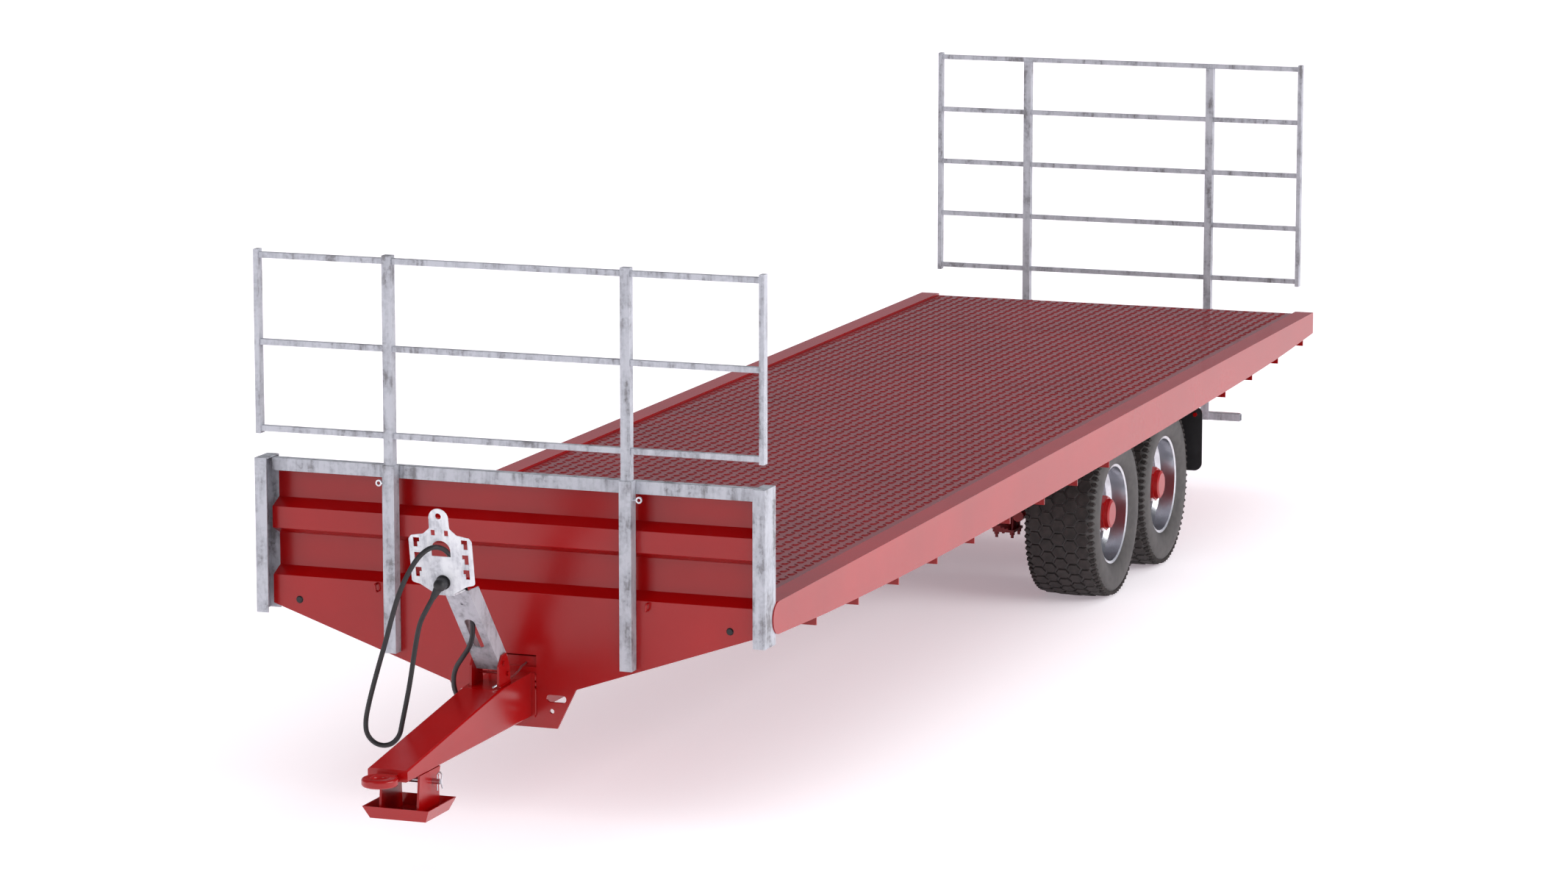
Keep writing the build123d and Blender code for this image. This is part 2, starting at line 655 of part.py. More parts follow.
plate_up = Vector(plate_head[0] - plate_foot[0], 0, plate_head[1] - plate_foot[1]).normalized()
plate_out = Vector(plate_up.Z, 0, -plate_up.X)
plate_origin = Vector(along(plate_foot[0]), 0, above(plate_foot[1]))
plate_plane = Plane(origin=plate_origin, x_dir=(0, 1, 0), z_dir=plate_out)
half_outline = ((45, 345), (46, 300), (78, 272), (136, 262), (147, 246), (147, 50), (108, 40), (42, 0))
with BuildPart() as carrier_plate:
    with BuildSketch(plate_plane) as plate_face:
        Polygon(*half_outline, *[(-y, h) for y, h in reversed(half_outline)], align=None)
        fillet(plate_face.vertices().group_by(Axis.Z)[0], 12)
        with Locations((0, 345)):
            Circle(45)
        with Locations((0, 356)):
            Circle(14, mode=Mode.SUBTRACT)
        with Locations((0, 200)):
            Circle(45, mode=Mode.SUBTRACT)
        with Locations((0, 186)):
            Rectangle(90, 28, mode=Mode.SUBTRACT)
        with Locations((0, 155)):
            Rectangle(90, 34)
        for side in (1, -1):
            with Locations((side * 31, 280)):
                Rectangle(20, 26, mode=Mode.SUBTRACT)
            for level in (232, 164, 96):
                with Locations((side * 117, level)):
                    Rectangle(20, 44, mode=Mode.SUBTRACT)
                with Locations((side * 112, level + 12)):
                    Rectangle(30, 20, mode=Mode.SUBTRACT)
    extrude(amount=plate_wall)
    box_between((along(690), -45, above(carrier_tab_level)),
                (along(plate_foot[0] + 3), 45, above(carrier_tab_level) + 6))
save(carrier_plate, "carrier_plate")



def drawbar_top(x_from_head):
    """Level of the drawbar's top plate between the headboard and its knee."""
    start = rib_depth - board_sheet
    share = (x_from_head - start) / (drawbar_knee - start)
    return -(drawbar_rear_top + share * (drawbar_knee_top - drawbar_rear_top))


lug_outline = [(263, drawbar_top(263)), (392, drawbar_top(392)), (388, -285), (350, -240), (306, -236),
               (270, -300)]
bolt_head = 9
with BuildPart() as carrier_lugs:
    for side in (1, -1):
        y_inner = side * (carrier_width / 2 + lug_gap)
        with BuildSketch(Plane.XZ.offset(-y_inner)):
            Polygon(*[(along(x), above(z)) for x, z in lug_outline], align=None)
            with Locations(*carrier_bolt_spots):
                Circle(carrier_bolt_radius, mode=Mode.SUBTRACT)
        extrude(amount=-side * lug_wall)
    bolt_reach = carrier_width / 2 + lug_gap + lug_wall + bolt_play
    for spot in carrier_bolt_spots:
        with BuildSketch(Plane.XZ.offset(-bolt_reach)):
            with Locations(spot):
                Circle(carrier_bolt_radius - bolt_play)
        extrude(amount=2 * bolt_reach)
        for face in (1, -1):
            with BuildSketch(Plane.XZ.offset(-face * bolt_reach)):
                with Locations(spot):
                    RegularPolygon(11, 6)
            extrude(amount=-face * bolt_head)
save(carrier_lugs, "carrier_lugs")

# ---------------------------------------------------------------- electric cable
socket_height = 55
socket_origin = plate_origin + plate_up * socket_height + plate_out * plate_wall
with BuildPart() as parking_socket:
    with BuildSketch(Plane(origin=socket_origin, x_dir=(0, 1, 0), z_dir=plate_out)):
        Circle(33)
        Circle(22.5, mode=Mode.SUBTRACT)
    extrude(amount=4)
    with BuildSketch(Plane(origin=socket_origin, x_dir=(0, 1, 0), z_dir=plate_out)):
        Circle(27)
        Circle(22.5, mode=Mode.SUBTRACT)
    extrude(amount=16)
save(parking_socket, "parking_socket")

plug_centre = socket_origin + plate_out * 38
tail_way = Vector(0.25, -0.42, -0.87).normalized()
tail_end = plug_centre + tail_way * 64
with BuildPart() as cable_plug:
    with BuildSketch(Plane(origin=socket_origin + plate_out * 1, x_dir=(0, 1, 0), z_dir=plate_out)):
        Circle(22)
    extrude(amount=16)
    with BuildSketch(Plane(origin=socket_origin + plate_out * 17, x_dir=(0, 1, 0), z_dir=plate_out)):
        Circle(28)
    extrude(amount=21)
    with Locations(plug_centre):
        Sphere(28)
    with BuildSketch(Plane(origin=plug_centre, z_dir=tail_way)):
        Circle(22)
    with BuildSketch(Plane(origin=tail_end, z_dir=tail_way)):
        Circle(12.5)
    loft()
save(cable_plug, "cable_plug")

gland_front = 112
with BuildPart() as cable_gland:
    with BuildSketch(Plane.YZ.offset(board_front - board_sheet)):
        with Locations((-150, above(-500))):
            RegularPolygon(22, 6)
    extrude(amount=14)
    with BuildSketch(Plane.YZ.offset(board_front - board_sheet + 14)):
        with Locations((-150, above(-500))):
            Circle(17)
    extrude(amount=along(gland_front) - (board_front - board_sheet + 14))
save(cable_gland, "cable_gland")

cable_route = ((gland_front, -150, -500), (188, -150, -500), (266, -158, -482), (336, -160, -436),
               (390, -150, -368), (430, -122, -296), (458, -72, -236), (480, -24, -174), (502, -2, -104),
               (534, 7, -32), (576, 9, 40), (620, 13, 111), (668, 9, 176), (722, 11, 238), (782, 11, 288),
               (843, 6, 326), (895, -26, 338), (917, -76, 294), (925, -120, 222), (930, -162, 132),
               (932, -194, 30), (933, -224, -78), (932, -256, -178), (928, -287, -276), (920, -315, -366),
               (908, -338, -448), (898, -338, -511), (888, -296, -555), (880, -236, -556), (872, -193, -514),
               (866, -182, -450), (863, -165, -370), (861, -147, -280), (861, -130, -180), (865, -112, -84),
               (873, -90, 0))
cable_points = [Vector(along(x), y, above(z)) for x, y, z in cable_route]
cable_points += [tail_end + tail_way * tail_run, tail_end]
runs = [b - a for a, b in zip(cable_points, cable_points[1:])]
turns = [radians(a.get_angle(b)) for a, b in zip(runs, runs[1:])]
cable_radii = [cable_bend_share * min(a.length, b.length) / tan(turn / 2)
               for a, b, turn in zip(runs, runs[1:], turns)]
print("cable bend radii", [round(r) for r in cable_radii])
print("cable turns", [round(degrees(t)) for t in turns])
with BuildPart() as electric_cable:
    with BuildLine():
        cable_path = FilletPolyline(*cable_points, radius=cable_radii)
    with BuildSketch(Plane(origin=cable_path @ 0, z_dir=cable_path % 0)):
        Circle(cable_radius)
    sweep(path=cable_path)
save(electric_cable, "electric_cable")
cable_length = cable_path.length
print("cable length", round(cable_length), "volume share",
      round(electric_cable.part.volume / (pi * cable_radius ** 2 * cable_length), 4))

# ---------------------------------------------------------------- suspension
spring_top = axle_z - axle_beam / 2 - seat_crown
arc_z = spring_top + spring_radius


def leaf_level(x_from_axle, radius):
    return arc_z - sqrt(radius ** 2 - x_from_axle ** 2)


eye_ring = eye_pin_radius + eye_wall
eye_centre_z = leaf_level(spring_front, spring_radius + leaf_wall) + eye_ring - 4
pad_z = leaf_level(spring_slip, spring_radius) + pad_radius + pad_gap
rocker_arm = axle_spacing / 2 - spring_slip
rock_lever = spring_front + spring_slip
print("rocker ratio", -rock_lever / rocker_arm, "eye z", eye_centre_z, "pad z", pad_z)
print("spring eyes x", front_axle_x + spring_front, rear_axle_x - spring_front, "rocker x", rocker_x)

for axle, axle_x, ahead in axles:
    with BuildPart() as springs:
        for _, side in sides:
            with BuildSketch(Plane.XZ.offset(-side * beam_y)):
                for leaf in range(leaf_count):
                    inner_r = spring_radius + leaf * leaf_wall
                    outer_r = inner_r + leaf_wall
                    share = 1 - 0.15 * leaf
                    x_eye = ahead * (spring_front if leaf == 0 else spring_front * share)
                    x_slip = -ahead * (spring_slip + spring_tail) * (1 if leaf == 0 else share)
                    low_x, high_x = sorted((x_eye, x_slip))
                    mid_x = (low_x + high_x) / 2
                    with BuildLine():
                        a = [(axle_x + x, leaf_level(x, inner_r)) for x in (low_x, mid_x, high_x)]
                        b = [(axle_x + x, leaf_level(x, outer_r)) for x in (high_x, mid_x, low_x)]
                        ThreePointArc(*a)
                        Line(a[-1], b[0])
                        ThreePointArc(*b)
                        Line(b[-1], a[0])
                    make_face()
                with Locations((axle_x + ahead * spring_front, eye_centre_z)):
                    Circle(eye_ring)
                with Locations((axle_x + ahead * spring_front, eye_centre_z)):
                    Circle(eye_pin_radius + pivot_clearance, mode=Mode.SUBTRACT)
            extrude(amount=spring_width / 2, both=True)

    pack_low = spring_top - leaf_count * leaf_wall
    with BuildPart() as axle_part:
        box_between((axle_x - axle_beam / 2, -axle_beam_length / 2, axle_z - axle_beam / 2),
                    (axle_x + axle_beam / 2, axle_beam_length / 2, axle_z + axle_beam / 2))
        fillet(axle_part.edges().filter_by(Axis.Y), 10)
        with BuildSketch(Plane.XZ):
            with Locations((axle_x, axle_z)):
                Circle(spindle_radius)
        extrude(amount=wheel_centre + 105, both=True)
    save(axle_part, f"{axle}_axle")

    with BuildPart() as clamps:
        for _, side in sides:
            y = side * beam_y
            box_between((axle_x - 80, y - 60, pack_low - clamp_plate), (axle_x + 80, y + 60, pack_low))
            box_between((axle_x - 70, y - 40, axle_z + axle_beam / 2),
                        (axle_x + 70, y + 40, axle_z + axle_beam / 2 + 10))
            for offset_x in (-58, 58):
                leg_y = spring_width / 2 + ubolt_radius + 1
                low_z = pack_low - clamp_plate - 32
                high_z = axle_z + axle_beam / 2 + 9 + ubolt_radius
                with BuildLine():
                    bolt_path = FilletPolyline((axle_x + offset_x, y - leg_y, low_z),
                                               (axle_x + offset_x, y - leg_y, high_z),
                                               (axle_x + offset_x, y + leg_y, high_z),
                                               (axle_x + offset_x, y + leg_y, low_z), radius=16)
                with BuildSketch(Plane(origin=bolt_path @ 0, z_dir=bolt_path % 0)):
                    Circle(ubolt_radius)
                sweep(path=bolt_path)
                for end in (-1, 1):
                    with BuildSketch(Plane.XY.offset(pack_low - clamp_plate - 15)):
                        with Locations((axle_x + offset_x, y + end * leg_y)):
                            RegularPolygon(14, 6)
                    extrude(amount=15)
    save(clamps, f"{axle}_spring_clamps")

    with BuildPart() as backplates:
        for _, side in sides:
            face_y = side * (wheel_centre - 60 - backplate_gap)
            with BuildSketch(Plane.XZ.offset(-face_y)):
                with Locations((axle_x, axle_z)):
                    Circle(drum_radius + 4)
                    Circle(spindle_radius, mode=Mode.SUBTRACT)
            extrude(amount=side * 8)
            ram_y = side * 615
            with BuildSketch(Plane.YZ.offset(axle_x + ahead * (axle_beam / 2))):
                with Locations((ram_y, axle_z)):
                    Rectangle(70, 70)
            extrude(amount=ahead * 12)
            with BuildSketch(Plane.YZ.offset(axle_x + ahead * (axle_beam / 2 + 12))):
                with Locations((ram_y, axle_z)):
                    Circle(30)
            extrude(amount=ahead * 190)
    save(backplates, f"{axle}_brakes")
    save(springs, f"{axle}_leaf_springs")

hanger_half = spring_width / 2 + cheek_gap
with BuildPart() as spring_hangers:
    for _, axle_x, ahead in axles:
        pin_x = axle_x + ahead * spring_front
        for _, side in sides:
            for face in (1, -1):
                y_near = side * beam_y + face * hanger_half
                with BuildSketch(Plane.XZ.offset(-y_near)):
                    Polygon((pin_x - 75, beam_low_z), (pin_x + 75, beam_low_z),
                            (pin_x + 34, eye_centre_z - 34),
                            (pin_x - 34, eye_centre_z - 34), align=None)
                    with Locations((pin_x, eye_centre_z)):
                        Circle(eye_pin_radius, mode=Mode.SUBTRACT)
                extrude(amount=-face * hanger_wall)
    for _, side in sides:
        for face in (1, -1):
            y_near = side * beam_y + face * hanger_half
            with BuildSketch(Plane.XZ.offset(-y_near)):
                Polygon((rocker_x - 90, beam_low_z), (rocker_x + 90, beam_low_z), (rocker_x + 40, pad_z - 40),
                        (rocker_x - 40, pad_z - 40), align=None)
                with Locations((rocker_x, pad_z)):
                    Circle(rocker_pin_radius, mode=Mode.SUBTRACT)
            extrude(amount=-face * hanger_wall)
save(spring_hangers, "spring_hangers")

pin_reach = hanger_half + hanger_wall + 8
with BuildPart() as suspension_pins:
    spots = [(axle_x + ahead * spring_front, eye_centre_z, eye_pin_radius) for _, axle_x, ahead in axles]
    spots.append((rocker_x, pad_z, rocker_pin_radius))
    for x, z, radius in spots:
        for _, side in sides:
            with BuildSketch(Plane.XZ.offset(-side * beam_y)):
                with Locations((x, z)):
                    Circle(radius)
            extrude(amount=pin_reach, both=True)
            for face in (1, -1):
                with BuildSketch(Plane.XZ.offset(-side * beam_y - face * (hanger_half + hanger_wall))):
                    with Locations((x, z)):
                        RegularPolygon(radius + 9, 6)
                extrude(amount=-face * 12)
save(suspension_pins, "suspension_pins")

for side_name, side in sides:
    with BuildPart() as rocker:
        with BuildSketch(Plane.XZ.offset(-side * beam_y)):
            with Locations((rocker_x, pad_z)):
                Circle(rocker_boss)
            Polygon((rocker_x - rocker_arm, pad_z - 6), (rocker_x - rocker_arm, pad_z + pad_radius),
                    (rocker_x, pad_z + rocker_boss), (rocker_x + rocker_arm, pad_z + pad_radius),
                    (rocker_x + rocker_arm, pad_z - 6), (rocker_x, pad_z - rocker_boss + 6), align=None)
            with Locations((rocker_x - rocker_arm, pad_z), (rocker_x + rocker_arm, pad_z)):
                Circle(pad_radius)
            with Locations((rocker_x, pad_z)):
                Circle(rocker_pin_radius + pivot_clearance, mode=Mode.SUBTRACT)
        extrude(amount=rocker_width / 2, both=True)
    save(rocker, f"rocker_{side_name}")

# ---------------------------------------------------------------- wheels
tyre_half = tyre_width / 2
tyre_outside = ((158, bead_radius), (160, rim_radius + 4), (tyre_half - 18, rim_radius + 16),
                (tyre_half, tyre_radius - 85), (tyre_half - 12, tyre_radius - 20),
                (tyre_half - 44, tyre_radius))
tyre_inside = ((128, bead_radius), (134, rim_radius + 12), (tyre_half - 26, tyre_radius - 85),
               (tyre_half - 36, tyre_radius - 46), (tyre_half - 60, tyre_radius - 30))
barrel = ((-174, rim_radius), (-163, rim_radius), (-161, bead_radius), (-112, bead_radius), (-92, 240),
          (60, 240),
          (84, bead_radius), (161, bead_radius), (163, rim_radius), (174, rim_radius), (174, rim_radius - 8),
          (168, 254), (88, 254), (64, 240 - rim_wall), (-96, 240 - rim_wall), (-116, 254), (-168, 254),
          (-174, rim_radius - 8))
for axle, axle_x, _ in axles:
    for side_name, side in sides:
        wheel_plane = Plane(origin=(axle_x, side * wheel_centre, axle_z), x_dir=(0, side, 0),
                            z_dir=(side, 0, 0))
        spin_axis = Axis((axle_x, 0, axle_z), (0, 1, 0))
        with BuildPart() as tyre:
            with BuildSketch(wheel_plane):
                Polygon(*tyre_outside, *[(-a, r) for a, r in reversed(tyre_outside)], align=None)
                Polygon(*tyre_inside, *[(-a, r) for a, r in reversed(tyre_inside)], align=None,
                        mode=Mode.SUBTRACT)
            revolve(axis=spin_axis)
        save(tyre, f"tyre_{axle}_{side_name}")

        with BuildPart() as rim:
            with BuildSketch(wheel_plane):
                Polygon(*barrel, align=None)
                with Locations((disc_offset + disc_wall / 2, (hub_radius + 3 + 236) / 2)):
                    Rectangle(disc_wall, 236 - hub_radius - 3)
            revolve(axis=spin_axis)
            disc_face = (axle_x, side * (wheel_centre + disc_offset), axle_z)
            with BuildSketch(Plane(origin=disc_face, z_dir=(0, side, 0))):
                with PolarLocations(190, 8):
                    Circle(16)
                with PolarLocations(stud_circle, stud_count):
                    Circle(stud_radius)
            extrude(amount=disc_wall, mode=Mode.SUBTRACT)
        save(rim, f"rim_{axle}_{side_name}")

        with BuildPart() as hub:
            with BuildSketch(wheel_plane):
                Polygon((-60, drum_radius - 12), (-60, drum_radius), (30, drum_radius), (34, drum_radius),
                        (disc_offset, drum_radius), (disc_offset, hub_radius), (hub_length - 26, hub_radius),
                        (hub_length - 26, hub_radius - 8), (hub_length - 6, hub_radius - 12),
                        (hub_length, hub_radius - 26), (hub_length, 0), (108, 0),
                        (108, spindle_radius + bearing_clearance), (-40, spindle_radius + bearing_clearance),
                        (-40, 52), (24, 52), (24, drum_radius - 12), align=None)
            revolve(axis=spin_axis)
            collar_face = (axle_x, side * (wheel_centre + hub_length - 26 - hub_collar), axle_z)
            with BuildSketch(Plane(origin=collar_face, z_dir=(0, side, 0))):
                RegularPolygon(hub_radius + 8, 8)
                Circle(hub_radius - 4, mode=Mode.SUBTRACT)
            extrude(amount=hub_collar - 4)
            nut_face = Plane(origin=(axle_x, side * (wheel_centre + disc_offset + disc_wall), axle_z),
                             z_dir=(0, side, 0))
            with BuildSketch(nut_face):
                with PolarLocations(stud_circle, stud_count):
                    RegularPolygon(nut_radius, 6)
            extrude(amount=18)
            stud_root = nut_face.origin - Vector(0, side * disc_wall, 0)
            with BuildSketch(Plane(origin=stud_root, z_dir=(0, side, 0))):
                with PolarLocations(stud_circle, stud_count):
                    Circle(stud_radius)
            extrude(amount=disc_wall + 26)
        save(hub, f"hub_{axle}_{side_name}")

# ---------------------------------------------------------------- mudflaps and light bar
with BuildPart() as mudflaps:
    for _, side in sides:
        with BuildSketch(Plane.YZ.offset(along(-flap_x) - 4)) as flap_outline:
            with Locations((side * (flap_inner + flap_outer) / 2, above(-(flap_top + flap_low) / 2))):
                Rectangle(flap_outer - flap_inner, flap_low - flap_top)
            fillet(flap_outline.vertices().group_by(Axis.Z)[0], 45)
        extrude(amount=8)
save(mudflaps, "mudflaps")

with BuildPart() as flap_brackets:
    for _, side in sides:
        y_low, y_high = sorted((side * 560, side * (flap_outer - 10)))
        box_between((along(-flap_x) - 34, y_low, above(-flap_top - 62)),
                    (along(-flap_x) - 4, y_high, above(-flap_top - 30)))
        y_low, y_high = sorted((side * (beam_y + beam_flange / 2), side * 560))
        box_between((along(-flap_x) - 44, y_low, above(-flap_top - 72)),
                    (along(-flap_x) - 4, y_high, above(-flap_top - 20)))
    for _, side in sides:
        for y in (flap_inner + 40, (flap_inner + flap_outer) / 2, flap_outer - 40):
            with BuildSketch(Plane.YZ.offset(along(-flap_x) + 4)):
                with Locations((side * y, above(-flap_top - 46))):
                    RegularPolygon(12, 6)
            extrude(amount=12)
save(flap_brackets, "flap_brackets")

with BuildPart() as light_bar:
    with BuildSketch(Plane.XZ.offset(-bar_half)):
        with Locations((along(-bar_x - bar_depth / 2), above(-bar_top - bar_height / 2))):
            Rectangle(bar_depth, bar_height)
            Rectangle(bar_depth - 8, bar_height - 8, mode=Mode.SUBTRACT)
    extrude(amount=2 * bar_half)
    for _, side in sides:
        y_low, y_high = sorted((side * 590, side * 640))
        box_between((along(-bar_x), y_low, above(-bar_top - bar_height)),
                    (along(-bar_x) + 8, y_high, above(-beam_top_drop)))
        box_between((along(-bar_x), min(side * 535, y_low), above(-beam_top_drop - 60)),
                    (along(-bar_x) + 8, max(side * 535, y_high), above(-beam_top_drop)))
save(light_bar, "light_bar")

with BuildPart() as tail_lamps:
    for _, side in sides:
        y_low, y_high = sorted((side * (bar_half - 250), side * (bar_half - 15)))
        box_between((along(-bar_x - bar_depth) - 28, y_low, above(-bar_top - bar_height + 1)),
                    (along(-bar_x - bar_depth), y_high, above(-bar_top - 1)))
save(tail_lamps, "tail_lamps")
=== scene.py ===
# Flat-bed bale trailer with a ribbed headboard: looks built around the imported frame, in metres.
import math

import bmesh
import bpy
from mathutils import Matrix, Vector


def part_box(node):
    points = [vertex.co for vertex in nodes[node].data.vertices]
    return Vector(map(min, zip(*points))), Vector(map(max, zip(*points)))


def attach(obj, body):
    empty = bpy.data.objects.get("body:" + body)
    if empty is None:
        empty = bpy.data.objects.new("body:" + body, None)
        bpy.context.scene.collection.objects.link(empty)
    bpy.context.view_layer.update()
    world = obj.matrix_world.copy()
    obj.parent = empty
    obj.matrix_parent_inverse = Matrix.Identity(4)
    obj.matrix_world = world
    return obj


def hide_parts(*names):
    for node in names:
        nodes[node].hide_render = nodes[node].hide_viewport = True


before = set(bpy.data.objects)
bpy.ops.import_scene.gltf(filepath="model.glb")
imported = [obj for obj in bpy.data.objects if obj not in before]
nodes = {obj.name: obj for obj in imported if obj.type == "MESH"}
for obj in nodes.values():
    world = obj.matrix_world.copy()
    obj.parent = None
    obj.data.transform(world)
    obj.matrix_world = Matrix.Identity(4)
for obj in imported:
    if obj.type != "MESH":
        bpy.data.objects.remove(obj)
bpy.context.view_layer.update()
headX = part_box("deck_sheets")[1].x      # front end of the deck
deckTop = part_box("deck_sheets")[1].z
print("frame loaded, headboard at", round(headX, 3))


def fromHead(x, y, z):
    # millimetres ahead of the headboard, left of the middle and above the deck
    return Vector((headX + x / 1000, y / 1000, deckTop + z / 1000))


# camera
lookout = {"ahead": 21.895, "left": 9.280, "up": 4.740, "tilt": 80.2408, "turn": 110.1204,
           "lens": 125.0, "sensor": 36.0, "farthest": 400.0}
cameraData = bpy.data.cameras.new("camera")
cameraData.lens = lookout["lens"]
cameraData.sensor_width = lookout["sensor"]
cameraData.sensor_fit = "HORIZONTAL"
cameraData.clip_end = lookout["farthest"]
camera = bpy.data.objects.new("camera", cameraData)
camera.location = (headX + lookout["ahead"], lookout["left"], deckTop + lookout["up"])
camera.rotation_euler = [math.radians(a) for a in (lookout["tilt"], 0, lookout["turn"])]
bpy.context.scene.collection.objects.link(camera)
bpy.context.scene.camera = camera

# the electric cable from the headboard, through the carrier plate and back to its parking socket
cable = {
    "radius": 0.011,
    "length": 3.017,
    "route": [(112, -150, -500), (188, -150, -500), (266, -158, -482), (336, -160, -436), (390, -150, -368),
              (430, -122, -296), (458, -72, -236), (480, -24, -174), (502, -2, -104), (534, 7, -32),
              (576, 9, 40), (620, 13, 111), (668, 9, 176), (722, 11, 238), (782, 11, 288), (843, 6, 326),
              (895, -26, 338), (917, -76, 294), (925, -120, 222), (930, -162, 132), (932, -194, 30),
              (933, -224, -78), (932, -256, -178), (928, -287, -276), (920, -315, -366), (908, -338, -448),
              (898, -338, -511), (888, -296, -555), (880, -236, -556), (872, -193, -514), (866, -182, -450),
              (863, -165, -370), (861, -147, -280), (861, -130, -180), (865, -112, -84), (873, -90, 0),
              (892, -50.5, 60.2), (877.8, -26.9, 109.1)],
}
cableLine = bpy.data.curves.new("electricCable", "CURVE")
cableLine.dimensions = "3D"
spline = cableLine.splines.new("NURBS")
spline.points.add(len(cable["route"]) - 1)
for point, place in zip(spline.points, cable["route"]):
    point.co = (*fromHead(*place), 1)
    point.radius = cable["radius"]       # the bevel below is a unit, so the radius sits on the points
spline.order_u = 3
spline.use_endpoint_u = True
spline.resolution_u = 8
cableLine.bevel_depth = 1.0
cableLine.bevel_resolution = 5
cableLine.use_fill_caps = True
electricCable = bpy.data.objects.new("electricCable", cableLine)
bpy.context.scene.collection.objects.link(electricCable)
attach(electricCable, "chassis")
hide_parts("electric_cable")
print("cable laid")


# finishes
def linear(hexColour):
    # sRGB hex to scene linear, opaque
    channels = [int(hexColour[i:i + 2], 16) / 255 for i in (1, 3, 5)]
    return (*[c / 12.92 if c <= 0.04045 else ((c + 0.055) / 1.055) ** 2.4 for c in channels], 1.0)


def addNode(tree, kind, values=None, links=None, **settings):
    node = tree.nodes.new(kind)
    for name, value in settings.items():
        setattr(node, name, value)
    for name, value in (values or {}).items():
        node.inputs[name].default_value = value
    for name, socket in (links or {}).items():
        tree.links.new(socket, node.inputs[name])
    return node


def newFinish(name, shine):
    material = bpy.data.materials.new(name)
    material.use_nodes = True
    tree = material.node_tree
    tree.nodes.clear()
    shader = addNode(tree, "ShaderNodeBsdfPrincipled", shine)
    addNode(tree, "ShaderNodeOutputMaterial", links={"Surface": shader.outputs["BSDF"]})
    coordinates = addNode(tree, "ShaderNodeTexCoord")
    return material, tree, shader, coordinates.outputs["Object"]


def ramp(tree, factor, stops):
    node = addNode(tree, "ShaderNodeValToRGB", links={"Fac": factor})
    elements = node.color_ramp.elements
    for element, (place, colour) in zip(elements, (stops[0], stops[-1])):
        element.position = place
        element.color = linear(colour)
    for place, colour in stops[1:-1]:
        elements.new(place).color = linear(colour)
    return node.outputs["Color"]


def glossPaint(name, main, dull, roughness, coat):
    # two-pack gloss enamel sprayed over primed steel: deep colour, clear reflections, faint orange peel
    material, tree, shader, place = newFinish(name, {"Roughness": roughness, "IOR": 1.5,
                                                     "Coat Weight": coat, "Coat Roughness": 0.06})
    patches = addNode(tree, "ShaderNodeTexNoise", {"Scale": 2.2, "Detail": 3.0}, {"Vector": place})
    colour = ramp(tree, patches.outputs["Fac"], [(0.3, dull), (0.7, main)])
    tree.links.new(colour, shader.inputs["Base Color"])
    peel = addNode(tree, "ShaderNodeTexNoise", {"Scale": 260.0, "Detail": 1.0}, {"Vector": place})
    relief = addNode(tree, "ShaderNodeBump", {"Strength": 0.04, "Distance": 0.001},
                     {"Height": peel.outputs["Fac"]})
    tree.links.new(relief.outputs["Normal"], shader.inputs["Normal"])
    return material


def galvanised(name, light, middle, dark, metallic):
    # hot-dip galvanised steel: matt zinc with soft clouds, drips that run down and a faint spangle
    material, tree, shader, place = newFinish(name, {"Metallic": metallic})
    stretched = addNode(tree, "ShaderNodeMapping", {"Scale": (14.0, 14.0, 2.4)}, {"Vector": place})
    drips = addNode(tree, "ShaderNodeTexNoise", {"Scale": 1.6, "Detail": 5.0, "Roughness": 0.65},
                    {"Vector": stretched.outputs["Vector"]})
    clouds = addNode(tree, "ShaderNodeTexNoise", {"Scale": 9.0, "Detail": 4.0, "Roughness": 0.6},
                     {"Vector": place})
    spangle = addNode(tree, "ShaderNodeTexVoronoi", {"Scale": 70.0}, {"Vector": place})
    cells = addNode(tree, "ShaderNodeSeparateColor", links={"Color": spangle.outputs["Color"]})
    mixed = addNode(tree, "ShaderNodeMath", {1: 0.55}, {0: drips.outputs["Fac"]}, operation="MULTIPLY")
    together = addNode(tree, "ShaderNodeMath", {1: 0.40, 2: 0.0},
                       {0: clouds.outputs["Fac"], 2: mixed.outputs["Value"]}, operation="MULTIPLY_ADD")
    speckled = addNode(tree, "ShaderNodeMath", {1: 0.06},
                       {0: cells.outputs["Red"], 2: together.outputs["Value"]}, operation="MULTIPLY_ADD")
    colour = ramp(tree, speckled.outputs["Value"], [(0.38, dark), (0.47, middle), (0.56, light)])
    tree.links.new(colour, shader.inputs["Base Color"])
    dullness = addNode(tree, "ShaderNodeMapRange", {"To Min": 0.38, "To Max": 0.62},
                       {"Value": clouds.outputs["Fac"]})
    tree.links.new(dullness.outputs["Result"], shader.inputs["Roughness"])
    relief = addNode(tree, "ShaderNodeBump", {"Strength": 0.12, "Distance": 0.002},
                     {"Height": clouds.outputs["Fac"]})
    tree.links.new(relief.outputs["Normal"], shader.inputs["Normal"])
    return material


def rubber(name, light, dark, roughness):
    # moulded rubber: matt, faintly mottled where dust sits in the grain
    material, tree, shader, place = newFinish(name, {"Roughness": roughness, "IOR": 1.5})
    mottle = addNode(tree, "ShaderNodeTexNoise", {"Scale": 24.0, "Detail": 4.0}, {"Vector": place})
    colour = ramp(tree, mottle.outputs["Fac"], [(0.35, dark), (0.65, light)])
    tree.links.new(colour, shader.inputs["Base Color"])
    skin = addNode(tree, "ShaderNodeTexNoise", {"Scale": 120.0, "Detail": 2.0}, {"Vector": place})
    relief = addNode(tree, "ShaderNodeBump", {"Strength": 0.1, "Distance": 0.001},
                     {"Height": skin.outputs["Fac"]})
    tree.links.new(relief.outputs["Normal"], shader.inputs["Normal"])
    return material


